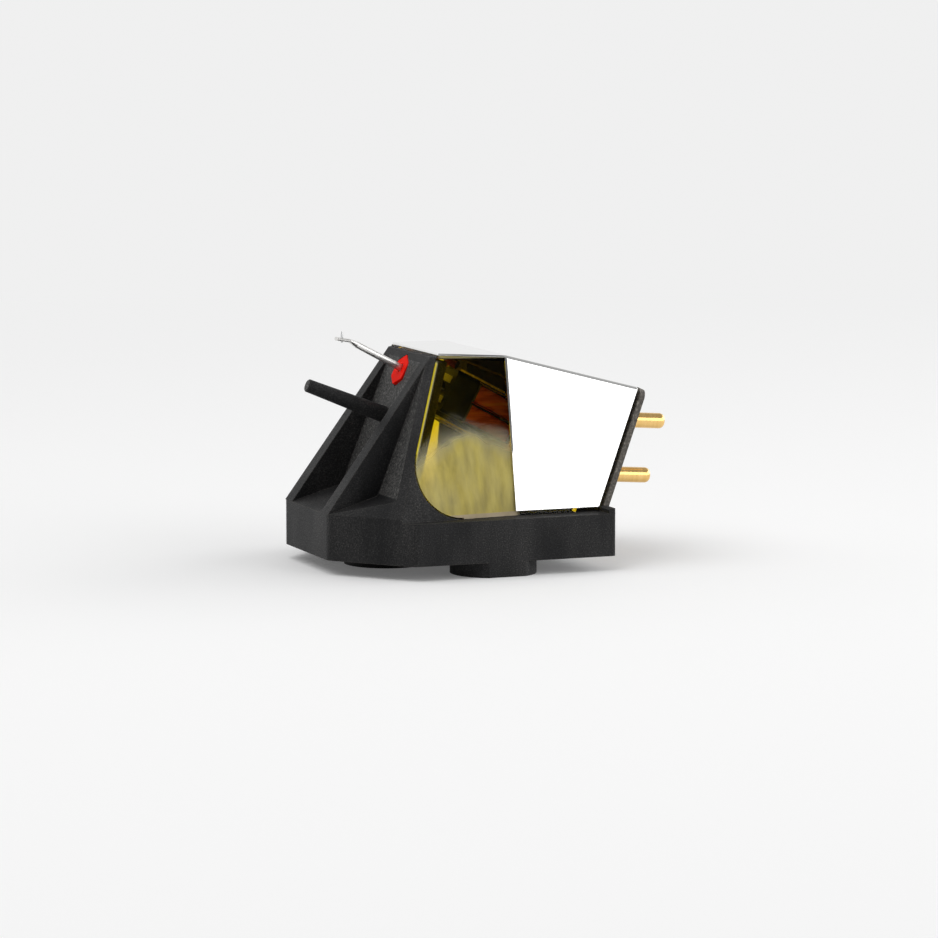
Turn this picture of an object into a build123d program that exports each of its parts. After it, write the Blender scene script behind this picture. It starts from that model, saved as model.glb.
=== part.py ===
from build123d import *
from math import atan, cos, degrees, radians, sin, sqrt, tan
import os

os.makedirs("parts", exist_ok=True)

# Millimetres. z = 0 is the mounting plane, +X runs to the output pins, +Z to the stylus.

# Mounting pads and their tapped holes
hole_spacing = 12.7
front_hole_x = -4.8
pad_radius = 2.75
pad_height = 0.95
screw_radius = 1.05
screw_depth = 3.0

# Base flange: narrow nose, flared shoulders, straight sides, a deck behind the wall, two rear ears
base_top = 3.65
nose_top = 3.85
nose_x = -10.25
nose_half = 4.05
shoulder_x = -6.2
base_half = 8.8
base_rear_x = 7.42
base_corner = 0.25
nose_corner = 0.8
ear_length = 0.5
ear_rise = 0.35
ear_round = 0.12

# Front frame: leaning wall, two ribs that run down to the nose, rounded gussets
head_x = -3.24
head_half = 3.75
head_top = 13.5
head_land = 0.28
wall_lean = 21.8
wall_thickness = 0.39
rib_thickness = 1.3
floor_rise = 16.5
pocket_corner = 0.45
gusset_radius = 3.0
gusset_lap = 0.01
step_depth = 1.0
step_gap = 0.15

# Guard finger, square to the front wall
finger_drop = 3.96
finger_length = 5.6
finger_root_radius = 0.54
finger_tip_radius = 0.42
finger_edge = 0.06

# Screening can: one folded sheet, almost level over the windows and sloping to the rear
can_sheet = 0.12
can_lift = 0.1
can_bend = 0.3
can_foot_gap = 0.27
can_rear_gap = 0.3
fold_x = 1.3
can_return = 0.12
fold_half_low = 7.34
fold_half_top = 5.4
roof_drop = 14.7
roof_rise = 0.14

# Amber cover under the can
cover_wall = 0.7
cover_roof = 0.3
bond_gap = 0.02
frame_gap = 0.03
corner_gap = 0.09
cover_rear_gap = 1.75

# Terminal plate, leaning to the rear, and its four pins
plate_low_x = 7.03
plate_lean = 24.3
plate_thickness = 0.38
plate_tongue = 0.5
plate_corner = 0.8
plate_fit = 0.05
pin_radius = 0.5
pin_round = 0.3
pin_fit = 0.01
pin_shoulder = 0.22
pin_half_spacing = 2.75
pin_high_rise = 5.25
pin_low_rise = 1.8
pin_high_reach = 3.5
pin_low_reach = 4.05
pin_tilt = 4.0
stub_radius = 0.3
stub_length = 1.0

# Cantilever and stylus
rake = 27.9
root_drop = 1.02
pivot_depth = 0.7
arm_length = 4.0
arm_root_radius = 0.235
arm_bend_radius = 0.21
arm_bore_radius = 0.15
arm_tail = 0.2
crush_length = 0.6
paddle_length = 0.87
paddle_width = 0.67
paddle_thickness = 0.24
paddle_rise = 10.0
stylus_reach = 0.48
stylus_radius = 0.075
stylus_fit = 0.005
stylus_under = 0.06
stylus_shank = 0.22
stylus_point = 0.2
stylus_point_radius = 0.015

# Damper, magnet and tie wire on the cantilever axis
damper_radius = 1.05
damper_drop = 0.12
damper_corner = 0.2
damper_proud = 0.05
damper_back = 0.35
damper_fit = 0.07
swing_gap = 0.065
magnet_bore_radius = 0.78
collar_radius = 0.31
collar_front = 0.15
collar_back = 0.62
collar_fit = 0.005
spigot_radius = 0.26
spigot_length = 0.48
wire_way_radius = 0.16
magnet_radius = 0.45
magnet_length = 1.56
wire_radius = 0.06
wire_front = 0.28
anchor_radius = 0.42
anchor_front = 3.0
anchor_back = 3.9
anchor_fit = 0.01

# Generator: four pole arms around the axis, a coil on each
arm_offset = 0.7
pole_size = 0.45
pole_front = 1.25
pole_fit = 0.01
bobbin_front = 4.15
bobbin_length = 3.5
bobbin_size = 1.3
bobbin_flange = 0.12
bobbin_barrel_wall = 0.08
coil_size = 1.2
coil_corner = 0.4
coil_fit = 0.01
yoke_length = 8.2
yoke_stagger = 0.75
holder_front = 2.4
holder_back = 4.1
holder_size = 2.9
holder_corner = 0.3
shelf_thickness = 0.3
shelf_back = 6.4

# Coil tails to the pins
lead_radius = 0.07
lead_front = 2.6
lead_lift = 0.03
lead_side = 1.15
lead_turn = 6.6

can_top = head_top + can_lift
root_z = head_top - root_drop
finger_root_z = head_top - finger_drop
pin_high_z = base_top + pin_high_rise
pin_low_z = base_top + pin_low_rise
lean = radians(wall_lean)
raked = radians(rake)
plate_angle = radians(plate_lean)


# Half-width of the flared front faces at a point of the side view
def wedge_half(x, z):
    along = (base_half - nose_half) / (shoulder_x - nose_x)
    upward = (head_half - nose_half - along * (head_x - nose_x)) / (head_top - nose_top)
    return nose_half + along * (x - nose_x) + upward * (z - nose_top)


# Half-width of the can's side plates at a height
def side_half(z):
    return fold_half_low + (fold_half_top - fold_half_low) * (z - base_top) / (can_top - base_top)


# Rear face of the front wall and front face of the terminal plate in the side view
def wall_rear_x(z):
    return head_x + head_land - tan(lean) * (head_top - z)


def plate_front_x(z):
    return plate_low_x + tan(plate_angle) * (z - base_top)


# Where a roof of a given height meets the terminal plate
def roof_end(roof, overrun=0.0):
    fall = tan(radians(roof_drop))
    slope = tan(plate_angle)
    reach = plate_low_x + overrun + slope * (roof + fall * fold_x - base_top)
    x = reach / (1 + slope * fall)
    return (x, roof - fall * (x - fold_x))


def trapezoid(low, top, height):
    Polygon((-low, 0), (low, 0), (top, height), (-top, height), align=None)


# The space under the can, set in from its outer faces
def cover_form(front_inset, rear_inset, roof_inset, gap, overrun=0.0):
    roof = can_top - roof_inset
    rise = roof - base_top
    low_x = wall_rear_x(base_top) + gap
    front_roof = roof + roof_rise
    top_x = wall_rear_x(front_roof) + gap
    taper = (fold_half_low - fold_half_top) / (can_top - base_top)
    front = Plane((low_x, 0, base_top), x_dir=(0, 1, 0), z_dir=(cos(lean), 0, -sin(lean)))
    fold = Plane((fold_x, 0, base_top), x_dir=(0, 1, 0), z_dir=(1, 0, 0))
    with BuildPart() as form:
        with BuildSketch(Plane.XZ):
            end = roof_end(roof, overrun)
            foot = (plate_low_x + overrun, base_top)
            Polygon((fold_x, base_top), foot, end, (fold_x, roof), align=None)
        extrude(amount=base_half, both=True)
        for side in (-1, 1):
            edge = (0, side * (fold_half_low - rear_inset), base_top)
            split(bisect_by=Plane(edge, x_dir=(1, 0, 0), z_dir=(0, side, taper)), keep=Keep.BOTTOM)
        with BuildSketch(front):
            low = wedge_half(low_x, base_top) - front_inset
            top = wedge_half(top_x, front_roof) - front_inset
            trapezoid(low, top, (front_roof - base_top) / cos(lean))
        with BuildSketch(fold):
            trapezoid(fold_half_low - rear_inset, side_half(roof) - rear_inset, rise)
        loft(ruled=True)
    return form.part


# Rounded inner corner between the front wall and the base
def corner_points(radius):
    height = gusset_radius - gusset_lap
    centre = (wall_rear_x(base_top) + height / tan((radians(90) - lean) / 2), base_top + height)
    spread = sqrt(2 + 2 * sin(-lean))
    middle = (-cos(lean) / spread, (sin(lean) - 1) / spread)
    start = (centre[0] - radius * cos(lean), centre[1] + radius * sin(lean))
    mid = (centre[0] + radius * middle[0], centre[1] + radius * middle[1])
    end = (centre[0], centre[1] - radius)
    return start, mid, end


# Cantilever axis: s runs to the rear from the pivot, local (x, y) of a cross plane is (Y, up)
wall_front_x = wall_rear_x(root_z) - wall_thickness / cos(lean)
pivot = (wall_front_x + pivot_depth * cos(raked), 0, root_z - pivot_depth * sin(raked))
axis = (cos(raked), 0, -sin(raked))


def cross(s):
    origin = (pivot[0] + s * axis[0], 0, pivot[2] + s * axis[2])
    return Plane(origin, x_dir=(0, 1, 0), z_dir=axis)


def on_axis(s, y, up):
    return (pivot[0] + s * axis[0] + up * sin(raked), y, pivot[2] + s * axis[2] + up * cos(raked))


# Terminal plate plane, local y up the plate
plate_plane = Plane(
    (plate_low_x, 0, base_top), x_dir=(0, 1, 0), z_dir=(cos(plate_angle), 0, -sin(plate_angle))
)

# Outline of the base flange seen from above
base_outline = (
    (nose_x, -nose_half),
    (shoulder_x, -base_half),
    (base_rear_x, -base_half),
    (base_rear_x, base_half),
    (shoulder_x, base_half),
    (nose_x, nose_half),
)

# Outer face of the ribs, drawn in slightly from the nose to the head
def rib_half(x):
    return nose_half + (head_half - nose_half) * (x - nose_x) / (head_x - nose_x)


# Hollow of the front frame: a channel between the ribs and a pocket beside each, on one back wall
with BuildPart() as frame_hollow:
    with BuildSketch(Plane.XZ) as hollow:
        rise = tan(radians(floor_rise))
        fall = tan(lean)
        wall_foot = wall_rear_x(nose_top) - wall_thickness / cos(lean)
        inner_x = (wall_foot - rise * fall * nose_x) / (1 - rise * fall)
        inner = (inner_x, nose_top + rise * (inner_x - nose_x))
        above = (wall_foot + fall * (head_top - nose_top), head_top)
        ahead = nose_x - nose_half
        Polygon(inner, above, (ahead, head_top), (ahead, nose_top + rise * (ahead - nose_x)), align=None)
        fillet(hollow.vertices().sort_by_distance(inner)[0], pocket_corner)
    extrude(amount=2 * base_half, both=True)
    with BuildSketch(Plane.XY):
        for side in (-1, 1):
            outer = ((ahead, side * rib_half(ahead)), (0, side * rib_half(0)))
            channel = side * (nose_half - rib_thickness)
            Polygon(*outer, (0, channel), (ahead, channel), align=None)
    extrude(amount=2 * head_top, mode=Mode.SUBTRACT)

# Front frame between the nose and the rear face of the front wall
with BuildPart() as prow:
    with BuildSketch(Plane.XZ):
        foot = (wall_rear_x(nose_top), nose_top)
        crown = (head_x + head_land, head_top)
        Polygon((nose_x, nose_top), foot, crown, (head_x, head_top), align=None)
    extrude(amount=base_half, both=True)
    for side in (-1, 1):
        nose = Vector(nose_x, side * nose_half, nose_top)
        shoulder = Vector(shoulder_x, side * base_half, nose_top)
        head = Vector(head_x, side * head_half, head_top)
        outward = (head - nose).cross(shoulder - nose) * side
        split(bisect_by=Plane(nose, x_dir=shoulder - nose, z_dir=outward), keep=Keep.BOTTOM)
    add(frame_hollow.part, mode=Mode.SUBTRACT)

# Gusset that rounds the inner corner, flush with the windows
gusset_space = cover_form(0, 0, 0, 0)
with BuildPart() as gusset:
    add(gusset_space)
    with BuildSketch(Plane.XZ):
        with BuildLine():
            start, mid, end = corner_points(gusset_radius)
            ThreePointArc(start, mid, end)
            Polyline(end, (end[0], 0), (nose_x, 0), (nose_x, start[1]), start)
        make_face()
    extrude(amount=base_half, both=True, mode=Mode.INTERSECT)
    with BuildSketch(Plane.XY) as under:
        Polygon(*base_outline, align=None)
        fillet(under.vertices().sort_by(Axis.X)[:-2], nose_corner)
    extrude(amount=can_top, mode=Mode.INTERSECT)

# Step behind the front wall that locates the cover and carries the generator
step_inset = cover_wall + frame_gap + step_gap
step_space = cover_form(
    step_inset, step_inset + can_sheet, can_sheet + bond_gap + cover_roof + step_gap, 0
)
step_face = Plane(
    (wall_rear_x(base_top) + step_depth / cos(lean), 0, base_top),
    x_dir=(0, 1, 0),
    z_dir=(cos(lean), 0, -sin(lean)),
)
with BuildPart() as wall_step:
    add(step_space)
    split(bisect_by=step_face, keep=Keep.BOTTOM)

# Guard finger, drafted, with the edge of its flat end broken
with BuildPart() as finger:
    root_x = wall_rear_x(finger_root_z) - wall_thickness / cos(lean)
    root = Plane((root_x, 0, finger_root_z), x_dir=(0, 1, 0), z_dir=(-cos(lean), 0, sin(lean)))
    standing = (Align.CENTER, Align.CENTER, Align.MIN)
    drafted = finger_length - finger_edge
    with Locations(root):
        Cone(finger_root_radius, finger_tip_radius, drafted, align=standing)
    with Locations(root.offset(drafted)):
        Cone(finger_tip_radius, finger_tip_radius - finger_edge, finger_edge, align=standing)
    with Locations(root.offset(-wall_thickness / 2)):
        Cylinder(finger_root_radius, wall_thickness / 2, align=standing)

# Ears at the rear corners, one on each side of the terminal plate's foot
with BuildPart() as ears:
    with BuildSketch(Plane.XZ) as ear_side:
        with Locations((base_rear_x, base_top)):
            Rectangle(ear_length, ear_rise, align=(Align.MAX, Align.MIN))
        fillet(ear_side.vertices().sort_by(Axis.Y)[-2:], ear_round)
    extrude(amount=base_half, both=True)
    with BuildSketch(Plane.XY) as ear_plan:
        Polygon(*base_outline, align=None)
        fillet(ear_plan.vertices(), base_corner)
        Rectangle(4 * base_half, 2 * (side_half(base_top) + plate_fit), mode=Mode.SUBTRACT)
    extrude(amount=can_top, mode=Mode.INTERSECT)

# Body moulding: base flange, pads, front frame and guard finger
with BuildPart() as body:
    with BuildSketch(Plane.XY.offset(pad_height)) as flange:
        Polygon(*base_outline, align=None)
        fillet(flange.vertices().sort_by(Axis.X)[:-2], nose_corner)
        fillet(flange.vertices().sort_by(Axis.X)[-2:], base_corner)
    extrude(amount=nose_top - pad_height)
    with BuildSketch(Plane.XZ):
        behind = base_rear_x + ear_length
        deck = ((wall_rear_x(base_top), base_top), (behind, base_top))
        Polygon(*deck, (behind, nose_top), (wall_rear_x(nose_top), nose_top), align=None)
    extrude(amount=2 * base_half, both=True, mode=Mode.SUBTRACT)
    with BuildSketch(Plane.XY):
        with Locations((0, -hole_spacing / 2), (0, hole_spacing / 2), (front_hole_x, 0)):
            Circle(pad_radius)
        Polygon(*base_outline, align=None, mode=Mode.INTERSECT)
    extrude(amount=pad_height)
    add(prow.part)
    add(ears.part)
    add(gusset.part)
    add(wall_step.part)
    add(finger.part)
    # Tapped holes from the mounting face
    with Locations((0, -hole_spacing / 2, 0), (0, hole_spacing / 2, 0), (front_hole_x, 0, 0)):
        Cylinder(screw_radius, screw_depth, align=standing, mode=Mode.SUBTRACT)
    # Hexagonal seat for the damper and the way for the magnet behind it
    with BuildSketch(cross(damper_back + damper_fit)) as seat:
        with Locations((0, -damper_drop)):
            RegularPolygon(damper_radius + damper_fit, 6, rotation=30)
        fillet(seat.vertices(), damper_corner)
    extrude(amount=-(damper_back + 4 * pivot_depth), mode=Mode.SUBTRACT)
    with BuildSketch(cross(0)):
        Circle(magnet_bore_radius)
    extrude(amount=holder_front, mode=Mode.SUBTRACT)
    # Open notch for the foot of the terminal plate
    with BuildSketch(plate_plane.offset(-plate_fit)):
        half = side_half(base_top) + plate_fit
        foot = -plate_tongue - plate_fit
        Polygon((-half, foot), (half, foot), (half, base_top), (-half, base_top), align=None)
    extrude(amount=base_half, mode=Mode.SUBTRACT)
body.part.label = "body"
export_step(body.part, "parts/body.step")

# Amber cover: one moulded cap, open below and to the rear
cover_inset = can_sheet + bond_gap
cover_outer = cover_form(frame_gap, cover_inset, cover_inset, frame_gap, overrun=-cover_rear_gap)
cover_inner = cover_form(
    frame_gap + cover_wall, cover_inset + cover_wall, cover_inset + cover_roof, 0, overrun=can_top
)
with BuildPart() as amber_cover:
    add(cover_outer)
    add(cover_inner, mode=Mode.SUBTRACT)
    with BuildSketch(Plane.XZ):
        with BuildLine():
            start, mid, end = corner_points(gusset_radius - corner_gap)
            ThreePointArc(start, mid, end)
            Polyline(end, (end[0], 0), (nose_x, 0), (nose_x, start[1]), start)
        make_face()
    extrude(amount=base_half, both=True, mode=Mode.SUBTRACT)
    # Relief in the roof's front edge over the damper seat
    with BuildSketch(cross(damper_back + damper_fit)):
        with Locations((0, -damper_drop)):
            RegularPolygon(damper_radius + damper_fit + frame_gap, 6, rotation=30)
    extrude(amount=-pivot_depth, mode=Mode.SUBTRACT)
amber_cover.part.label = "amber_cover"
export_step(amber_cover.part, "parts/amber_cover.step")

# Screening can: side plates behind the fold, roof over everything
can_outer = cover_form(0, 0, 0, frame_gap, overrun=-can_rear_gap)
can_inner = cover_form(0, can_sheet, can_sheet, 0, overrun=can_top)
with BuildPart() as screening_can:
    add(can_outer)
    behind = screening_can.edges().filter_by_position(Axis.X, fold_x + can_bend, plate_low_x)
    raised = behind.filter_by_position(Axis.Z, base_top + can_bend, can_top)
    fillet(raised.filter_by(lambda edge: abs(edge.center().Y) > can_bend), can_bend)
    add(can_inner, mode=Mode.SUBTRACT)
    with BuildSketch(Plane.XZ):
        foot = base_top + can_foot_gap
        front_edge = fold_x - can_return
        pitch = roof_rise / (fold_x - wall_rear_x(can_top + roof_rise))
        ahead = (nose_x, can_top - can_sheet + pitch * (fold_x - nose_x))
        above = (front_edge, can_top - can_sheet + pitch * can_return)
        window = ((nose_x, 0), ahead, above, (front_edge, foot))
        Polygon(*window, (base_rear_x + can_top, foot), (base_rear_x + can_top, 0), align=None)
    extrude(amount=base_half, both=True, mode=Mode.SUBTRACT)
screening_can.part.label = "screening_can"
export_step(screening_can.part, "parts/screening_can.step")

# Terminal plate with its four pin holes
pin_seats = []
for name, z, reach in (("high", pin_high_z, pin_high_reach), ("low", pin_low_z, pin_low_reach)):
    for hand, side in (("right", -1), ("left", 1)):
        pin_seats.append((f"output_pin_{hand}_{name}", side * pin_half_spacing, z, reach))


def pin_plane(y, z, back):
    tilt = radians(pin_tilt)
    rear_x = plate_front_x(z) + plate_thickness / cos(plate_angle)
    seat = (rear_x - back * cos(tilt), y, z + back * sin(tilt))
    return Plane(seat, x_dir=(0, 1, 0), z_dir=(cos(tilt), 0, -sin(tilt)))


with BuildPart() as terminal_plate:
    top_z = roof_end(can_top)[1]
    with BuildSketch(plate_plane) as outline:
        low = side_half(base_top)
        top = side_half(top_z)
        height = (top_z - base_top) / cos(plate_angle)
        right_edge = ((low, -plate_tongue), (low, 0), (top, height))
        left_edge = ((-top, height), (-low, 0), (-low, -plate_tongue))
        Polygon(*right_edge, *left_edge, align=None)
        fillet(outline.vertices().sort_by(Axis.Y)[-2:], plate_corner)
    extrude(amount=plate_thickness)
    for name, y, z, reach in pin_seats:
        with BuildSketch(pin_plane(y, z, 2 * stub_length)):
            Circle(stub_radius + pin_fit)
        extrude(amount=3 * stub_length, mode=Mode.SUBTRACT)
terminal_plate.part.label = "terminal_plate"
export_step(terminal_plate.part, "parts/terminal_plate.step")

# Output pins, round-ended outside, thin solder stub inside
for name, y, z, reach in pin_seats:
    with BuildPart() as pin:
        with BuildSketch(pin_plane(y, z, -pin_shoulder)):
            Circle(pin_radius)
        extrude(amount=reach - pin_shoulder)
        fillet(pin.edges().sort_by(Axis.X)[-1], pin_round)
        with BuildSketch(pin_plane(y, z, 2 * stub_length)):
            Circle(stub_radius)
        extrude(amount=2 * stub_length + pin_shoulder)
    pin.part.label = name
    export_step(pin.part, f"parts/{name}.step")

# Cantilever: drawn tube, crushed flat at the stylus end
front = pivot_depth + arm_length
bend = Vector(on_axis(-front, 0, 0))
tip_angle = radians(paddle_rise)
paddle_plane = Plane(bend, x_dir=(0, 1, 0), z_dir=(-cos(tip_angle), 0, sin(tip_angle)))
stylus_x = bend.X - stylus_reach * cos(tip_angle)
stylus_z = bend.Z + stylus_reach * sin(tip_angle)
half_paddle = paddle_thickness / 2 / cos(tip_angle)
tail = Plane(on_axis(arm_tail, 0, 0), x_dir=(0, 1, 0), z_dir=(-cos(raked), 0, sin(raked)))
straight = front + arm_tail - crush_length


# Section of the tube where it is crushed, with flats above and below
def crushed(width, thickness):
    turns = [radians(22.5 * k + 11.25) for k in range(16)]
    Polygon(*[(width / 2 * cos(t), thickness / 2 * sin(t)) for t in turns], align=None)


with BuildPart() as cantilever:
    with Locations(tail):
        Cone(arm_root_radius, arm_bend_radius, straight, align=standing)
    with BuildSketch(tail.offset(straight)):
        crushed(2 * arm_bend_radius, 2 * arm_bend_radius)
    with BuildSketch(paddle_plane):
        crushed(paddle_width, paddle_thickness)
    loft(ruled=True)
    with BuildSketch(paddle_plane):
        crushed(paddle_width, paddle_thickness)
    extrude(amount=paddle_length)
    with Locations(tail):
        Cylinder(arm_bore_radius, straight - crush_length, align=standing, mode=Mode.SUBTRACT)
    with Locations((stylus_x, 0, stylus_z - paddle_width)):
        Cylinder(stylus_radius + stylus_fit, 2 * paddle_width, align=standing, mode=Mode.SUBTRACT)
cantilever.part.label = "cantilever"
export_step(cantilever.part, "parts/cantilever.step")

# Stylus: diamond shank with a cone ground on its end
with BuildPart() as stylus_tip:
    with BuildSketch(Plane.XY.offset(stylus_z - half_paddle - stylus_under)):
        with Locations((stylus_x, 0)):
            Circle(stylus_radius)
    extrude(amount=stylus_under + 2 * half_paddle + stylus_shank)
    with Locations((stylus_x, 0, stylus_z + half_paddle + stylus_shank)):
        Cone(stylus_radius, stylus_point_radius, stylus_point, align=standing)
stylus_tip.part.label = "stylus_tip"
export_step(stylus_tip.part, "parts/stylus_tip.step")

# Damper: hexagonal rubber block around the cantilever root
with BuildPart() as suspension_damper:
    with BuildSketch(cross(-pivot_depth - damper_proud)) as block:
        with Locations((0, -damper_drop)):
            RegularPolygon(damper_radius, 6, rotation=30)
        fillet(block.vertices(), damper_corner)
    extrude(amount=pivot_depth + damper_proud + damper_back)
    with BuildSketch(cross(-pivot_depth - damper_proud)):
        Circle(arm_root_radius + swing_gap)
    extrude(amount=pivot_depth + damper_proud, mode=Mode.SUBTRACT)
    with BuildSketch(cross(-collar_front - swing_gap)):
        Circle(collar_radius + swing_gap)
    extrude(amount=damper_back + collar_front + swing_gap, mode=Mode.SUBTRACT)
suspension_damper.part.label = "suspension_damper"
export_step(suspension_damper.part, "parts/suspension_damper.step")

# Collar that joins the tube to the magnet
with BuildPart() as magnet_collar:
    with BuildSketch(cross(-collar_front)):
        Circle(collar_radius)
    extrude(amount=collar_front + collar_back)
    with BuildSketch(cross(collar_back)):
        Circle(spigot_radius)
    extrude(amount=spigot_length)
    with BuildSketch(cross(-collar_front)):
        Circle(arm_root_radius + collar_fit)
    extrude(amount=collar_front + arm_tail + collar_fit, mode=Mode.SUBTRACT)
    with BuildSketch(cross(arm_tail)):
        Circle(wire_way_radius)
    extrude(amount=collar_back + spigot_length, mode=Mode.SUBTRACT)
magnet_collar.part.label = "magnet_collar"
export_step(magnet_collar.part, "parts/magnet_collar.step")

# Tubular magnet on the collar's spigot
with BuildPart() as magnet:
    with BuildSketch(cross(collar_back)):
        Circle(magnet_radius)
        Circle(spigot_radius + collar_fit, mode=Mode.SUBTRACT)
    extrude(amount=magnet_length)
magnet.part.label = "magnet"
export_step(magnet.part, "parts/magnet.step")

# Tie wire from the collar back to its anchor
with BuildPart() as tie_wire:
    with BuildSketch(cross(wire_front)):
        Circle(wire_radius)
    extrude(amount=anchor_back - wire_front)
tie_wire.part.label = "tie_wire"
export_step(tie_wire.part, "parts/tie_wire.step")

with BuildPart() as wire_anchor:
    with BuildSketch(cross(anchor_front)):
        Circle(anchor_radius)
        Circle(wire_radius + anchor_fit, mode=Mode.SUBTRACT)
    extrude(amount=anchor_back - anchor_front)
wire_anchor.part.label = "wire_anchor"
export_step(wire_anchor.part, "parts/wire_anchor.step")

# Holder: block around the pole arms on a thin shelf that stands on the front wall
with BuildPart() as generator_holder:
    with BuildSketch(cross(holder_front)) as block:
        RectangleRounded(holder_size, holder_size, holder_corner)
    extrude(amount=holder_back - holder_front)
    with BuildSketch(cross(0)):
        with Locations((0, -(holder_size + shelf_thickness) / 2)):
            Rectangle(holder_size - 2 * holder_corner, shelf_thickness)
    extrude(amount=shelf_back)
    split(bisect_by=step_face, keep=Keep.TOP)
    with BuildSketch(cross(holder_front)):
        with GridLocations(2 * arm_offset, 2 * arm_offset, 2, 2):
            Rectangle(pole_size + 2 * pole_fit, pole_size + 2 * pole_fit)
        Circle(anchor_radius + anchor_fit)
    extrude(amount=holder_back - holder_front, mode=Mode.SUBTRACT)
generator_holder.part.label = "generator_holder"
export_step(generator_holder.part, "parts/generator_holder.step")

# Pole yokes: two arms on one diagonal, joined behind the coils
arm_reach = arm_offset * sqrt(2)
for hand, turn, back in (("left", 45, yoke_length), ("right", -45, yoke_length + yoke_stagger)):
    side = 1 if turn > 0 else -1
    with BuildPart() as yoke:
        with BuildSketch(cross(pole_front)):
            with Locations((arm_offset, side * arm_offset), (-arm_offset, -side * arm_offset)):
                Rectangle(pole_size, pole_size)
        extrude(amount=back - pole_front)
        with BuildSketch(cross(back)):
            with Locations(Location((0, 0), turn)):
                Rectangle(2 * arm_reach + sqrt(2) * pole_size, pole_size)
        extrude(amount=pole_size)
    yoke.part.label = f"pole_yoke_{hand}"
    export_step(yoke.part, f"parts/pole_yoke_{hand}.step")

# Bobbins, coils and their tails, one set on each arm
for name, y, z, reach in pin_seats:
    tag = name.replace("output_pin_", "")
    side = 1 if y > 0 else -1
    level = 1 if z == pin_high_z else -1
    centre = (side * arm_offset, level * arm_offset)
    barrel = pole_size + 2 * pole_fit + 2 * bobbin_barrel_wall
    with BuildPart() as bobbin:
        with BuildSketch(cross(bobbin_front)):
            with Locations(centre):
                Rectangle(bobbin_size, bobbin_size)
        extrude(amount=bobbin_flange)
        with BuildSketch(cross(bobbin_front + bobbin_length - bobbin_flange)):
            with Locations(centre):
                Rectangle(bobbin_size, bobbin_size)
        extrude(amount=bobbin_flange)
        with BuildSketch(cross(bobbin_front)):
            with Locations(centre):
                Rectangle(barrel, barrel)
        extrude(amount=bobbin_length)
        with BuildSketch(cross(bobbin_front)):
            with Locations(centre):
                Rectangle(pole_size + 2 * pole_fit, pole_size + 2 * pole_fit)
        extrude(amount=bobbin_length, mode=Mode.SUBTRACT)
    bobbin.part.label = f"bobbin_{tag}"
    export_step(bobbin.part, f"parts/bobbin_{tag}.step")

    with BuildPart() as coil:
        with BuildSketch(cross(bobbin_front + bobbin_flange + coil_fit)):
            with Locations(centre):
                RectangleRounded(coil_size, coil_size, coil_corner)
                Rectangle(barrel + 2 * coil_fit, barrel + 2 * coil_fit, mode=Mode.SUBTRACT)
        extrude(amount=bobbin_length - 2 * bobbin_flange - 2 * coil_fit)
    coil.part.label = f"coil_{tag}"
    export_step(coil.part, f"parts/coil_{tag}.step")

    with BuildPart() as lead:
        shelf = shelf_thickness if level < 0 else 0
        up = level * (holder_size / 2 + shelf + lead_radius + lead_lift)
        stub = pin_plane(y, z, 2 * stub_length + lead_lift).origin
        with BuildLine() as route:
            first = Vector(on_axis(lead_front, side * lead_side, up))
            turn = Vector(on_axis(lead_turn, side * lead_side, up))
            Line(first, turn)
            TangentArc(turn, stub, tangent=axis)
        with BuildSketch(Plane(first, x_dir=(0, 1, 0), z_dir=axis)):
            RegularPolygon(lead_radius, 8)
        sweep(path=route.line)
    lead.part.label = f"lead_{tag}"
    export_step(lead.part, f"parts/lead_{tag}.step")
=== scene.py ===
import bpy
from math import cos, pi, radians, sin
from mathutils import Matrix, Vector


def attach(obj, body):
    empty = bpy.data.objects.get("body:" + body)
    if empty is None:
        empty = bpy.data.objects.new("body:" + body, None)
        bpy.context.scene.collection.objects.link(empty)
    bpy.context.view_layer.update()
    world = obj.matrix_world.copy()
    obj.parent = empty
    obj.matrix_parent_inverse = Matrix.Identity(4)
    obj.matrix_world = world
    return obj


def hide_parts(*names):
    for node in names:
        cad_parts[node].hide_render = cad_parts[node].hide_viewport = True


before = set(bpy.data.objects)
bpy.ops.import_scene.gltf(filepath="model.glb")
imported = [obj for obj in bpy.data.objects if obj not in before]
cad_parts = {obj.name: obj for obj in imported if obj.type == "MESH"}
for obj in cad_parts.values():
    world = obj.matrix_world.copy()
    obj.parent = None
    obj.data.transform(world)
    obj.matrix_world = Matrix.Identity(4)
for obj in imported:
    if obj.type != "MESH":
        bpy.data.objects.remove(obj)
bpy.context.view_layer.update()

# Body moulding: one piece of black glass-filled plastic that carries everything else.
# Its tool was spark-eroded, so the faces are matt with a pale grain, coarser on the raked front wall,
# where the grain is also painted much lighter as painted light; handling has left long smears, and the
# slightly broken edges are painted lighter, partly wear and partly painted highlight.


def finish(name):
    material = bpy.data.materials.new(name)
    material.use_nodes = True
    tree = material.node_tree
    return material, tree, tree.nodes["Principled BSDF"]


def pattern(tree, kind, scale, stretch=(1, 1, 1), turn=(0, 0, 0), detail=2):
    place = tree.nodes.new("ShaderNodeTexCoord")
    lay = tree.nodes.new("ShaderNodeMapping")
    lay.inputs["Rotation"].default_value = turn
    lay.inputs["Scale"].default_value = stretch
    texture = tree.nodes.new(kind)
    texture.inputs["Scale"].default_value = scale
    texture.inputs["Detail"].default_value = detail
    tree.links.new(place.outputs["Object"], lay.inputs["Vector"])
    tree.links.new(lay.outputs["Vector"], texture.inputs["Vector"])
    return texture


def tint(tree, source, stops):
    ramp = tree.nodes.new("ShaderNodeValToRGB")
    while len(ramp.color_ramp.elements) < len(stops):
        ramp.color_ramp.elements.new(0.5)
    for element, (place, colour) in zip(ramp.color_ramp.elements, stops):
        element.position = place
        element.color = (*colour, 1)
    tree.links.new(source, ramp.inputs["Fac"])
    return ramp.outputs["Color"]


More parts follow.
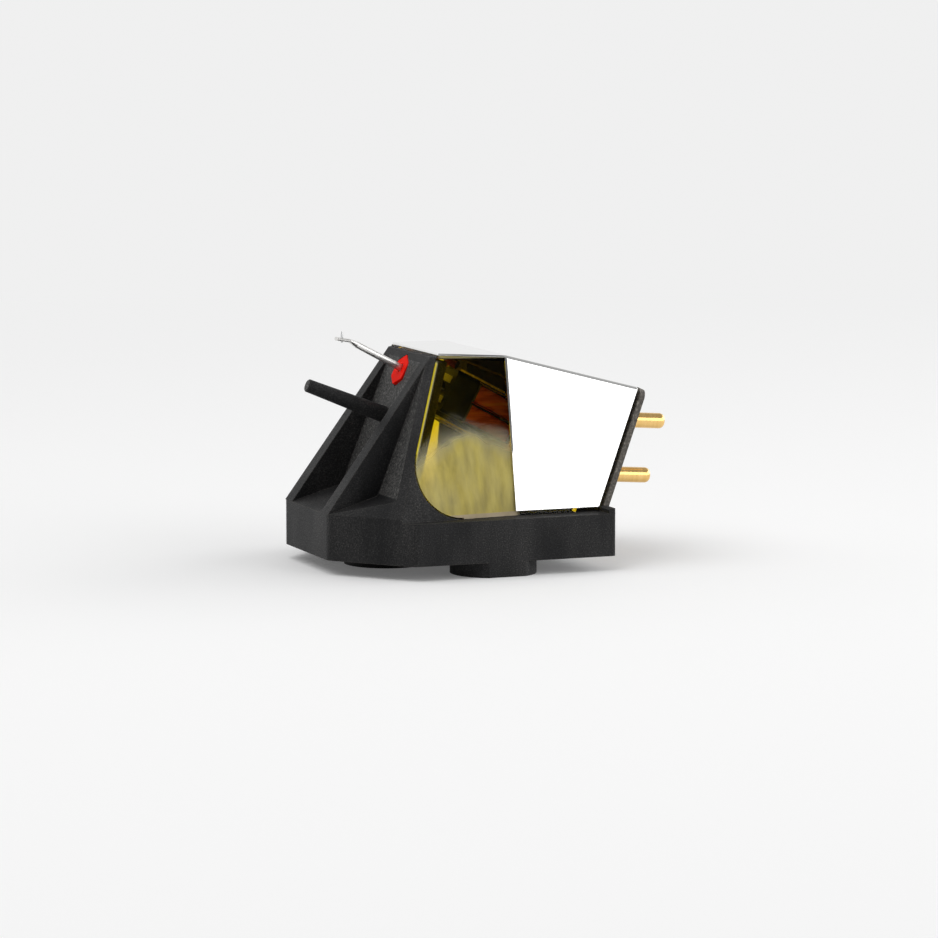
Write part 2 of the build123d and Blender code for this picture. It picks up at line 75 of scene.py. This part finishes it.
def spread(tree, source, low, high, start=0.3, end=0.7):
    scale = tree.nodes.new("ShaderNodeMapRange")
    scale.inputs["From Min"].default_value = start
    scale.inputs["From Max"].default_value = end
    scale.inputs["To Min"].default_value = low
    scale.inputs["To Max"].default_value = high
    tree.links.new(source, scale.inputs["Value"])
    return scale.outputs["Result"]


def multiply(tree, first, second):
    mix = tree.nodes.new("ShaderNodeMix")
    mix.data_type = "RGBA"
    mix.blend_type = "MULTIPLY"
    mix.inputs["Factor"].default_value = 1
    tree.links.new(first, mix.inputs["A"])
    tree.links.new(second, mix.inputs["B"])
    return mix.outputs["Result"]


def relief(tree, shader, source, depth, strength=1.0, edge=0.0):
    bump = tree.nodes.new("ShaderNodeBump")
    bump.inputs["Strength"].default_value = strength
    bump.inputs["Distance"].default_value = depth
    tree.links.new(source, bump.inputs["Height"])
    if edge:
        bevel = tree.nodes.new("ShaderNodeBevel")
        bevel.samples = 6
        bevel.inputs["Radius"].default_value = edge
        tree.links.new(bevel.outputs["Normal"], bump.inputs["Normal"])
    tree.links.new(bump.outputs["Normal"], shader.inputs["Normal"])


def dress(material, *names):
    for name in names:
        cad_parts[name].material_slots[0].material = material


def edges(tree, radius, start, end):
    bevel = tree.nodes.new("ShaderNodeBevel")
    bevel.samples = 6
    bevel.inputs["Radius"].default_value = radius
    surface = tree.nodes.new("ShaderNodeNewGeometry")
    turned = tree.nodes.new("ShaderNodeVectorMath")
    turned.operation = "DOT_PRODUCT"
    tree.links.new(bevel.outputs["Normal"], turned.inputs[0])
    tree.links.new(surface.outputs["Normal"], turned.inputs[1])
    return spread(tree, turned.outputs["Value"], 1, 0, start, end)


def blend(tree, amount, first, second):
    mix = tree.nodes.new("ShaderNodeMix")
    mix.data_type = "RGBA"
    tree.links.new(amount, mix.inputs["Factor"])
    tree.links.new(first, mix.inputs["A"])
    tree.links.new(second, mix.inputs["B"])
    return mix.outputs["Result"]


def measure(tree, source, direction):
    distance = tree.nodes.new("ShaderNodeVectorMath")
    distance.operation = "DOT_PRODUCT"
    distance.inputs[1].default_value = direction
    tree.links.new(source, distance.inputs[0])
    return distance.outputs["Value"]


wall_lean = radians(21.8)
broken_edge = 0.00009
grained_black, tree, shader = finish("grained_black")
grain = pattern(tree, "ShaderNodeTexNoise", 12500, detail=2)
grain.inputs["Roughness"].default_value = 0.6
smears = pattern(tree, "ShaderNodeTexNoise", 420, stretch=(1, 1, 0.3), detail=4)
speckle = tint(tree, grain.outputs["Fac"], [
    (0.36, (0.009, 0.009, 0.0095)), (0.56, (0.017, 0.017, 0.0175)), (0.74, (0.046, 0.045, 0.043))])
handled = tint(tree, smears.outputs["Fac"], [(0.36, (0.6, 0.61, 0.63)), (0.68, (1.8, 1.77, 1.72))])
# Broken edges are painted lighter, partly wear and partly painted highlight.
edge_wear_and_highlight = tint(tree, grain.outputs["Fac"], [(0.36, (0.03, 0.029, 0.027)), (0.7, (0.115, 0.107, 0.095))])
pits = pattern(tree, "ShaderNodeTexNoise", 8600, detail=4)
# Painted light: faces turned like the raked front wall get a much lighter, coarser grain.
painted_lit_wall_grain = tint(tree, pits.outputs["Fac"], [
    (0.36, (0.018, 0.018, 0.018)), (0.54, (0.062, 0.061, 0.059)), (0.72, (0.19, 0.186, 0.178))])
surface = tree.nodes.new("ShaderNodeNewGeometry")
facing = measure(tree, surface.outputs["True Normal"], (-cos(wall_lean), 0, sin(wall_lean)))
on_wall = spread(tree, facing, 0, 1, 0.985, 0.995)
skin = blend(tree, on_wall, multiply(tree, speckle, handled), painted_lit_wall_grain)
skin = blend(tree, edges(tree, broken_edge, 0.8, 0.99), skin, edge_wear_and_highlight)
tree.links.new(skin, shader.inputs["Base Color"])
tree.links.new(spread(tree, grain.outputs["Fac"], 0.66, 0.5), shader.inputs["Roughness"])
shader.inputs["Specular IOR Level"].default_value = 0.2
relief(tree, shader, grain.outputs["Fac"], 0.00002, 0.6, edge=broken_edge)
dress(grained_black, "body")

# Screw threads in the three mounting pads: a 2.5 mm machine screw thread, 0.45 mm pitch,
# cut straight into the plastic of the moulding, so it has the same grain.
thread_pitch = 0.00045
thread_turns = 6
thread_steps = 28
ridge_radius = 0.00013
ridge_sink = 0.00002
ridge_start = 0.00018
hole_radius = 0.00105
half_spacing = 0.00635
front_hole = -0.0048
hole_places = {
    "thread_right": (0, -half_spacing, 0),
    "thread_left": (0, half_spacing, 0),
    "thread_front": (front_hole, 0, 0)}


def copy_piece(original, name):
    bpy.ops.object.select_all(action="DESELECT")
    original.select_set(True)
    bpy.context.view_layer.objects.active = original
    bpy.ops.object.duplicate()
    copied = bpy.context.object
    copied.name = name
    return copied


bpy.ops.object.select_all(action="DESELECT")
bpy.ops.mesh.primitive_circle_add(
    vertices=3, radius=ridge_radius, location=(hole_radius - ridge_sink, 0, ridge_start),
    rotation=(pi / 2, 0, 0))
thread = bpy.context.object
bpy.ops.object.mode_set(mode="EDIT")
bpy.ops.mesh.select_all(action="SELECT")
bpy.ops.transform.rotate(value=pi / 2, orient_axis="Y", center_override=thread.location)
bpy.ops.object.mode_set(mode="OBJECT")
bpy.ops.object.transform_apply(location=True, rotation=True, scale=True)
wind = thread.modifiers.new("wind", "SCREW")
wind.axis = "Z"
wind.screw_offset = thread_pitch
wind.iterations = thread_turns
wind.steps = thread_steps
wind.render_steps = thread_steps
bpy.ops.object.modifier_apply(modifier="wind")
bpy.ops.object.mode_set(mode="EDIT")
bpy.ops.mesh.select_all(action="DESELECT")
bpy.ops.mesh.select_non_manifold()
bpy.ops.mesh.edge_face_add()
bpy.ops.mesh.select_all(action="SELECT")
bpy.ops.mesh.normals_make_consistent(inside=False)
bpy.ops.object.mode_set(mode="OBJECT")
thread.data.materials.append(grained_black)
for name, place in hole_places.items():
    cut = copy_piece(thread, name)
    cut.location = place
    bpy.ops.object.transform_apply(location=True, rotation=True, scale=True)
    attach(cut, "cartridge")
bpy.data.objects.remove(thread)

# Generator holder: a black moulded block on a thin shelf behind the front wall.
# It is a plainer, smoother moulding than the body and grips the four pole arms.
moulded_black, tree, shader = finish("moulded_black")
flow = pattern(tree, "ShaderNodeTexNoise", 1800, detail=4)
tree.links.new(tint(tree, flow.outputs["Fac"], [
    (0.35, (0.005, 0.005, 0.005)), (0.7, (0.014, 0.0135, 0.013))]), shader.inputs["Base Color"])
tree.links.new(spread(tree, flow.outputs["Fac"], 0.28, 0.45), shader.inputs["Roughness"])
shader.inputs["Specular IOR Level"].default_value = 0.15
relief(tree, shader, flow.outputs["Fac"], 0.00002, 0.4)
dress(moulded_black, "generator_holder")

# Pole yokes: two soft-iron strips with square arms, nickel plated, folded round the coils.
# The strip is rolled and punched, so faint lines run along it under the plating.
rake = radians(27.9)
plated_iron, tree, shader = finish("plated_iron")
rolling = pattern(tree, "ShaderNodeTexNoise", 2600, stretch=(0.15, 1, 1), turn=(0, rake, 0))
tree.links.new(tint(tree, rolling.outputs["Fac"], [
    (0.3, (0.86, 0.82, 0.7)), (0.7, (0.97, 0.94, 0.84))]), shader.inputs["Base Color"])
tree.links.new(spread(tree, rolling.outputs["Fac"], 0.3, 0.5), shader.inputs["Roughness"])
shader.inputs["Metallic"].default_value = 0.05
relief(tree, shader, rolling.outputs["Fac"], 0.00001, 0.35)
dress(plated_iron, "pole_yoke_left", "pole_yoke_right")

# Bobbins: four small dark nylon spools, moulded, one pushed on each pole arm.
# The plastic is faintly cloudy, with a soft shine.
nylon, tree, shader = finish("nylon")
cloud = pattern(tree, "ShaderNodeTexNoise", 2400)
tree.links.new(tint(tree, cloud.outputs["Fac"], [
    (0.3, (0.05, 0.042, 0.035)), (0.7, (0.09, 0.075, 0.06))]), shader.inputs["Base Color"])
tree.links.new(spread(tree, cloud.outputs["Fac"], 0.35, 0.5), shader.inputs["Roughness"])
relief(tree, shader, cloud.outputs["Fac"], 0.00001, 0.3)
sides = ("right_high", "left_high", "right_low", "left_low")
dress(nylon, *["bobbin_" + side for side in sides])

# Coils: enamelled copper wire wound turn by turn on the bobbins, red through the enamel.
# One coil is a rounded square column with a slight ridge for every turn, and is copied to each arm.
pivot = Vector((-0.0031694, 0, 0.0121524))
along = Vector((cos(rake), 0, -sin(rake)))
upward = Vector((sin(rake), 0, cos(rake)))
coil_size = 0.0012
coil_length = 0.00324
coil_start = 0.00428
coil_offset = 0.0007
coil_turns = 30
coil_fit = 0.97
coil_corner = 0.0004
turn_swell = 1.012
copper, tree, shader = finish("enamelled_copper")
# Pale orange streaks along each coil's length are painted highlights.
wire = pattern(tree, "ShaderNodeTexNoise", 2600, stretch=(0.12, 1, 1), turn=(0, rake, 0), detail=3)
tree.links.new(tint(tree, wire.outputs["Fac"], [
    (0.3, (0.62, 0.07, 0.02)), (0.55, (0.88, 0.16, 0.05)), (0.75, (1, 0.36, 0.13))]),
    shader.inputs["Base Color"])
tree.links.new(spread(tree, wire.outputs["Fac"], 0.2, 0.38), shader.inputs["Roughness"])
shader.inputs["Metallic"].default_value = 0.1
shader.inputs["Coat Weight"].default_value = 1
relief(tree, shader, wire.outputs["Fac"], 0.000008, 0.4)
bpy.ops.object.select_all(action="DESELECT")
bpy.ops.mesh.primitive_plane_add(size=coil_size * coil_fit)
winding = bpy.context.object
bpy.ops.object.mode_set(mode="EDIT")
bpy.ops.mesh.select_all(action="SELECT")
bpy.ops.mesh.bevel(offset=coil_corner, offset_type="OFFSET", segments=5, affect="VERTICES")
half_turn = coil_length / coil_turns / 2
for _ in range(coil_turns):
    for swell in (turn_swell, 1 / turn_swell):
        bpy.ops.mesh.extrude_region_move(TRANSFORM_OT_translate={"value": (0, 0, half_turn)})
        bpy.ops.transform.resize(value=(swell, swell, 1))
bpy.ops.mesh.select_all(action="SELECT")
bpy.ops.mesh.normals_make_consistent(inside=False)
bpy.ops.object.mode_set(mode="OBJECT")
bpy.ops.object.shade_smooth_by_angle(angle=radians(50))
winding.data.materials.append(copper)
for side in sides:
    hand = 1 if "left" in side else -1
    row = 1 if "high" in side else -1
    coil = copy_piece(winding, "winding_" + side)
    seat = pivot + along * coil_start + upward * (row * coil_offset) + Vector((0, hand * coil_offset, 0))
    turned = Matrix((Vector((0, 1, 0)), upward, along)).transposed().to_4x4()
    coil.matrix_world = Matrix.Translation(seat) @ turned
    bpy.ops.object.transform_apply(location=True, rotation=True, scale=True)
    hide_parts("coil_" + side)
    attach(coil, "cartridge")
bpy.data.objects.remove(winding)

# Coil tails: fine enamelled wire, bright golden, from the holder back to the pin stubs.
# The clear enamel gives the copper its yellow shine.
golden_wire, tree, shader = finish("golden_wire")
enamel = pattern(tree, "ShaderNodeTexNoise", 3800)
tree.links.new(tint(tree, enamel.outputs["Fac"], [
    (0.3, (0.9, 0.66, 0.12)), (0.7, (1, 0.82, 0.28))]), shader.inputs["Base Color"])
tree.links.new(spread(tree, enamel.outputs["Fac"], 0.15, 0.3), shader.inputs["Roughness"])
shader.inputs["Metallic"].default_value = 0.3
relief(tree, shader, enamel.outputs["Fac"], 0.000005, 0.3)
dress(golden_wire, *["lead_" + side for side in sides])

# Damper: a six-sided block of bright red rubber pushed into its seat round the cantilever.
# Cut rubber has a soft sheen, faint mottling and slightly rounded edges.
red_rubber, tree, shader = finish("red_rubber")
mottle = pattern(tree, "ShaderNodeTexNoise", 3200, detail=3)
tree.links.new(tint(tree, mottle.outputs["Fac"], [
    (0.3, (0.9, 0.01, 0.003)), (0.7, (1, 0.016, 0.005))]), shader.inputs["Base Color"])
tree.links.new(spread(tree, mottle.outputs["Fac"], 0.38, 0.55), shader.inputs["Roughness"])
shader.inputs["Specular IOR Level"].default_value = 0.02
relief(tree, shader, mottle.outputs["Fac"], 0.00002, 0.4, edge=0.00008)
dress(red_rubber, "suspension_damper")

# Magnet, collar and wire anchor: a plated sintered tube magnet on a turned alloy collar behind the
# damper, and a small turned brass plug at the rear that holds the end of the tie wire.
sintered, tree, shader = finish("sintered_magnet")
grit = pattern(tree, "ShaderNodeTexNoise", 7000)
tree.links.new(tint(tree, grit.outputs["Fac"], [
    (0.3, (0.3, 0.3, 0.31)), (0.7, (0.5, 0.5, 0.52))]), shader.inputs["Base Color"])
tree.links.new(spread(tree, grit.outputs["Fac"], 0.35, 0.6), shader.inputs["Roughness"])
shader.inputs["Metallic"].default_value = 0.8
relief(tree, shader, grit.outputs["Fac"], 0.00001, 0.4)
dress(sintered, "magnet")

for name, piece, dark, light in (
        ("turned_alloy", "magnet_collar", (0.58, 0.58, 0.59), (0.76, 0.76, 0.76)),
        ("turned_brass", "wire_anchor", (0.55, 0.38, 0.14), (0.78, 0.58, 0.27))):
    turned_metal, tree, shader = finish(name)
    lathe = pattern(tree, "ShaderNodeTexNoise", 4200, stretch=(1, 0.1, 0.1), turn=(0, rake, 0))
    tone = tint(tree, lathe.outputs["Fac"], [(0.3, dark), (0.7, light)])
    tree.links.new(tone, shader.inputs["Base Color"])
    tree.links.new(spread(tree, lathe.outputs["Fac"], 0.2, 0.36), shader.inputs["Roughness"])
    shader.inputs["Metallic"].default_value = 1
    relief(tree, shader, lathe.outputs["Fac"], 0.000006, 0.4)
    dress(turned_metal, piece)

# Cantilever and tie wire: a drawn aluminium tube crushed flat at the tip, and a fine steel wire.
# Drawing leaves faint lines along the tube and a satin shine.
drawn_alloy, tree, shader = finish("drawn_alloy")
drawn = pattern(tree, "ShaderNodeTexNoise", 9000, stretch=(0.06, 1, 1), turn=(0, rake, 0), detail=3)
tree.links.new(tint(tree, drawn.outputs["Fac"], [
    (0.3, (0.68, 0.67, 0.65)), (0.7, (0.88, 0.87, 0.85))]), shader.inputs["Base Color"])
tree.links.new(spread(tree, drawn.outputs["Fac"], 0.26, 0.4), shader.inputs["Roughness"])
shader.inputs["Metallic"].default_value = 1
relief(tree, shader, drawn.outputs["Fac"], 0.000006, 0.5, edge=0.00003)
dress(drawn_alloy, "cantilever", "tie_wire")

# Stylus: a tiny clear diamond with a ground cone, bonded through the flat of the cantilever.
# The ground faces are slightly uneven, so they glint.
diamond, tree, shader = finish("diamond")
facets = pattern(tree, "ShaderNodeTexVoronoi", 12000, detail=0)
tree.links.new(tint(tree, facets.outputs["Distance"], [
    (0.1, (0.86, 0.88, 0.9)), (0.7, (0.97, 0.97, 0.97))]), shader.inputs["Base Color"])
tree.links.new(spread(tree, facets.outputs["Distance"], 0.02, 0.1), shader.inputs["Roughness"])
shader.inputs["Transmission Weight"].default_value = 0.4
shader.inputs["IOR"].default_value = 2.2
relief(tree, shader, facets.outputs["Distance"], 0.000004, 0.3)
dress(diamond, "stylus_tip")

# Amber cover: one clear amber moulding under the can, whose sides are the two windows.
# The tint is in the plastic. A dull bright yellow band along the front edge by the wall and along the
# top is a painted highlight of light glowing through the edges, and a dull beige band along the foot is
# the painted light of a small ledge that is not modelled; a dull film lies low on the outer face of the
# near window.
under_can = (0.0012, 0.0015)
near_side = (-0.0005, 0.0005)
film_lines = ((-0.65, 0.0111), (0.4, 0.0091))
film_below = 0.0018
film_above = 0.0006
film_waver = 0.0004
foot_top = (0.00389, 0.00393)
glow_depth = (-0.00768, -0.00756)
glow_top = (0.0131, 0.0133)
crown_level = (0.0134, 0.0135)
crown_front = (-0.0029, -0.0027)
clear_amber, tree, shader = finish("clear_amber")
streaks = pattern(tree, "ShaderNodeTexNoise", 900, stretch=(1, 1, 0.12), detail=3)
clear = tint(tree, streaks.outputs["Fac"], [(0.3, (0.97, 0.92, 0.6)), (0.7, (1, 0.96, 0.7))])
smudges = pattern(tree, "ShaderNodeTexNoise", 2000, stretch=(1, 1, 0.1), detail=4)
filmed = tint(tree, smudges.outputs["Fac"], [
    (0.3, (0.44, 0.355, 0.08)), (0.5, (0.6, 0.495, 0.115)), (0.7, (0.74, 0.62, 0.15))])
# Painted highlight: bright yellow for the glow along the front edge and the top.
painted_edge_glow = tint(tree, streaks.outputs["Fac"], [(0.3, (0.85, 0.66, 0.02)), (0.7, (0.98, 0.8, 0.04))])
# Painted light: beige for the lit face of a small foot ledge that is not modelled.
painted_foot_light = tint(tree, streaks.outputs["Fac"], [(0.3, (0.5, 0.41, 0.25)), (0.7, (0.68, 0.57, 0.4))])
place = tree.nodes.new("ShaderNodeTexCoord")
axes = tree.nodes.new("ShaderNodeSeparateXYZ")
tree.links.new(place.outputs["Object"], axes.inputs["Vector"])
behind = measure(tree, place.outputs["Object"], (cos(wall_lean), 0, -sin(wall_lean)))


def both(tree, operation, first, second):
    join = tree.nodes.new("ShaderNodeMath")
    join.operation = operation
    tree.links.new(first, join.inputs[0])
    tree.links.new(second, join.inputs[1])
    return join.outputs["Value"]


film = both(tree, "MULTIPLY", spread(tree, streaks.outputs["Fac"], 0.8, 1),
            spread(tree, axes.outputs["X"], 1, 0, *under_can))
film = both(tree, "MULTIPLY", film, spread(tree, axes.outputs["Y"], 1, 0, *near_side))
outside = tree.nodes.new("ShaderNodeNewGeometry")
film = both(tree, "MULTIPLY", film, spread(tree, outside.outputs["Backfacing"], 1, 0, 0, 1))
sideways = tree.nodes.new("ShaderNodeSeparateXYZ")
tree.links.new(outside.outputs["True Normal"], sideways.inputs["Vector"])
film = both(tree, "MULTIPLY", film, spread(tree, sideways.outputs["Y"], 1, 0, -0.1, 0.1))
wisps = pattern(tree, "ShaderNodeTexNoise", 420)
waver = spread(tree, wisps.outputs["Fac"], -film_waver, film_waver)
for lean, level in film_lines:
    rise = both(tree, "ADD", measure(tree, place.outputs["Object"], (lean, 0, 1)), waver)
    thinning = spread(tree, rise, 1, 0, level - film_below, level + film_above)
    thinning.node.interpolation_type = "SMOOTHSTEP"
    film = both(tree, "MULTIPLY", film, thinning)
# Painted light band along the foot of the cover.
foot = both(tree, "MULTIPLY", spread(tree, axes.outputs["Z"], 1, 0, *foot_top),
            spread(tree, axes.outputs["X"], 1, 0, *under_can))
# Painted highlight band along the front edge by the wall, and along the top edge.
front = both(tree, "MULTIPLY", spread(tree, behind, 1, 0, *glow_depth),
             spread(tree, axes.outputs["Z"], 1, 0, *glow_top))
crown = both(tree, "MULTIPLY", spread(tree, axes.outputs["Z"], 0, 0.5, *crown_level),
             spread(tree, axes.outputs["X"], 0, 1, *crown_front))
front = both(tree, "MAXIMUM", front, crown)
tone = blend(tree, front, blend(tree, film, clear, filmed), painted_edge_glow)
tree.links.new(blend(tree, foot, tone, painted_foot_light), shader.inputs["Base Color"])
dull = both(tree, "MAXIMUM", film, both(tree, "MAXIMUM", foot, front))
tree.links.new(spread(tree, dull, 0.02, 0.45, 0, 1), shader.inputs["Roughness"])
tree.links.new(spread(tree, dull, 1, 0.25, 0, 1), shader.inputs["Transmission Weight"])
shader.inputs["IOR"].default_value = 1.2
relief(tree, shader, streaks.outputs["Fac"], 0.000004, 0.03)
dye = tree.nodes.new("ShaderNodeVolumeAbsorption")
dye.inputs["Color"].default_value = (0.92, 0.86, 0.02, 1)
dye.inputs["Density"].default_value = 3000
tree.links.new(dye.outputs["Volume"], tree.nodes["Material Output"].inputs["Volume"])
dress(clear_amber, "amber_cover")

# Screening can: thin stainless sheet, folded and polished to a mirror.
# Only hairline marks and a trace of unevenness show, mostly along the roof.
mirror_steel, tree, shader = finish("mirror_steel")
hairlines = pattern(tree, "ShaderNodeTexNoise", 5200, stretch=(0.05, 1, 1), detail=4)
waves = pattern(tree, "ShaderNodeTexNoise", 160)
tree.links.new(tint(tree, hairlines.outputs["Fac"], [
    (0.3, (0.85, 0.85, 0.84)), (0.7, (0.88, 0.88, 0.87))]), shader.inputs["Base Color"])
tree.links.new(spread(tree, hairlines.outputs["Fac"], 0.035, 0.06), shader.inputs["Roughness"])
shader.inputs["Metallic"].default_value = 1
relief(tree, shader, waves.outputs["Fac"], 0.000004, 0.3, edge=0.00006)
dress(mirror_steel, "screening_can")

# Terminal plate: a punched fibre board that closes the rear, dark brown-grey with a rough edge.
# Pale fibres show in its faces, and it carries the output pins.
fibre_board, tree, shader = finish("fibre_board")
fibres = pattern(tree, "ShaderNodeTexNoise", 6800, stretch=(1, 0.35, 1), detail=5)
tree.links.new(tint(tree, fibres.outputs["Fac"], [
    (0.32, (0.045, 0.041, 0.036)), (0.54, (0.1, 0.088, 0.074)), (0.72, (0.25, 0.228, 0.197))]),
    shader.inputs["Base Color"])
tree.links.new(spread(tree, fibres.outputs["Fac"], 0.6, 0.8), shader.inputs["Roughness"])
relief(tree, shader, fibres.outputs["Fac"], 0.00003, 0.7)
dress(fibre_board, "terminal_plate")

# Output pins: four turned brass pins, gold plated, with rounded ends and lathe lines round them.
# They are fixed in the terminal plate and stand out at the rear.
gold_plate, tree, shader = finish("gold_plate")
rings = pattern(tree, "ShaderNodeTexNoise", 5200, stretch=(1, 0.08, 0.08), detail=3)
tree.links.new(tint(tree, rings.outputs["Fac"], [
    (0.3, (0.84, 0.53, 0.18)), (0.7, (0.92, 0.61, 0.24))]), shader.inputs["Base Color"])
tree.links.new(spread(tree, rings.outputs["Fac"], 0.14, 0.24), shader.inputs["Roughness"])
shader.inputs["Metallic"].default_value = 1
relief(tree, shader, rings.outputs["Fac"], 0.000003, 0.25)
dress(gold_plate, *["output_pin_" + side for side in sides])

# Table: a broad matt white sheet under the part, which runs on behind it as a plain white ground.
# It takes the part's shadow close by and fades to an even ground further out.
table_size = 8
table_lift = 0.11
ground_level = 0.87
ground_reach = (0.035, 0.2)
bpy.ops.object.select_all(action="DESELECT")
bpy.ops.mesh.primitive_plane_add(size=table_size)
table = bpy.context.object
table.name = "table"
paper, tree, shader = finish("white_paper")
shader.inputs["Base Color"].default_value = (0.86, 0.86, 0.86, 1)
shader.inputs["Roughness"].default_value = 0.8
shader.inputs["Specular IOR Level"].default_value = 0.1
rays = tree.nodes.new("ShaderNodeLightPath")
seen = rays.outputs["Is Camera Ray"]
for kind in ("Is Glossy Ray", "Is Transmission Ray"):
    seen = both(tree, "MAXIMUM", seen, rays.outputs[kind])
shader.inputs["Emission Color"].default_value = (1, 1, 1, 1)
tree.links.new(spread(tree, seen, 0, table_lift, 0, 1), shader.inputs["Emission Strength"])
ground = tree.nodes.new("ShaderNodeEmission")
tree.links.new(spread(tree, seen, 0, ground_level, 0, 1), ground.inputs["Strength"])
spot = tree.nodes.new("ShaderNodeTexCoord")
reach = tree.nodes.new("ShaderNodeVectorMath")
reach.operation = "LENGTH"
tree.links.new(spot.outputs["Object"], reach.inputs[0])
join = tree.nodes.new("ShaderNodeMixShader")
tree.links.new(spread(tree, reach.outputs["Value"], 0, 1, *ground_reach), join.inputs["Fac"])
tree.links.new(shader.outputs["BSDF"], join.inputs[1])
tree.links.new(ground.outputs["Emission"], join.inputs[2])
tree.links.new(join.outputs["Shader"], tree.nodes["Material Output"].inputs["Surface"])
table.data.materials.append(paper)

# Studio: a wide soft box low to the right of the camera, one high at the left and one low at the
# right, in a room that is pale behind the part, grey above it and dim in front of it.
middle = Vector((0, 0, 0.007))
lamp_distance = 0.6


def soft_box(name, turn, height, wide, tall, brightness):
    lamp = bpy.data.lights.new(name, "AREA")
    lamp.shape = "RECTANGLE"
    lamp.size = wide
    lamp.size_y = tall
    lamp.energy = brightness * pi * wide * tall
    box = bpy.data.objects.new(name, lamp)
    bpy.context.scene.collection.objects.link(box)
    away = Vector((sin(turn) * cos(height), -cos(turn) * cos(height), sin(height)))
    box.location = middle + away * lamp_distance
    box.rotation_euler = away.to_track_quat("Z", "Y").to_euler()


soft_box("key", radians(49.5), radians(19), 0.7, 0.4, 2.1)
soft_box("left", radians(-80), radians(60), 0.6, 0.5, 1.8)
soft_box("right", radians(100), radians(18), 0.4, 0.35, 3)

room = bpy.data.worlds.new("room")
bpy.context.scene.world = room
room.use_nodes = True
tree = room.node_tree
light = tree.nodes["Background"]
ways = tree.nodes.new("ShaderNodeTexCoord")
parts = tree.nodes.new("ShaderNodeSeparateXYZ")
tree.links.new(ways.outputs["Generated"], parts.inputs["Vector"])
back = spread(tree, parts.outputs["Y"], 0.17, 0.88, 0.12, 0.5)
above = spread(tree, parts.outputs["Z"], 1, 0.5, 0.4, 0.8)
ceiling = spread(tree, parts.outputs["Z"], 0, 0.42, 0.55, 0.75)
walls = both(tree, "MULTIPLY", back, above)
tree.links.new(both(tree, "MAXIMUM", walls, ceiling), light.inputs["Strength"])
light.inputs["Color"].default_value = (1, 1, 1, 1)

# Camera: a long lens at the photograph's viewing angle, a little above the table.
# It stands off the near side, towards the front, and looks along to the rear.
view_turn = radians(21.562)
view_drop = radians(7.157)
view = bpy.data.cameras.new("camera")
view.sensor_width = 36
view.lens = 167.44
view.clip_start = 0.01
view.clip_end = 20
camera = bpy.data.objects.new("camera", view)
bpy.context.scene.collection.objects.link(camera)
camera.location = (-0.10162, -0.25937, 0.04078)
look = Vector((
    sin(view_turn) * cos(view_drop), cos(view_turn) * cos(view_drop), -sin(view_drop)))
camera.rotation_euler = look.to_track_quat("-Z", "Y").to_euler()
bpy.context.scene.camera = camera
bpy.context.scene.view_settings.view_transform = "Standard"
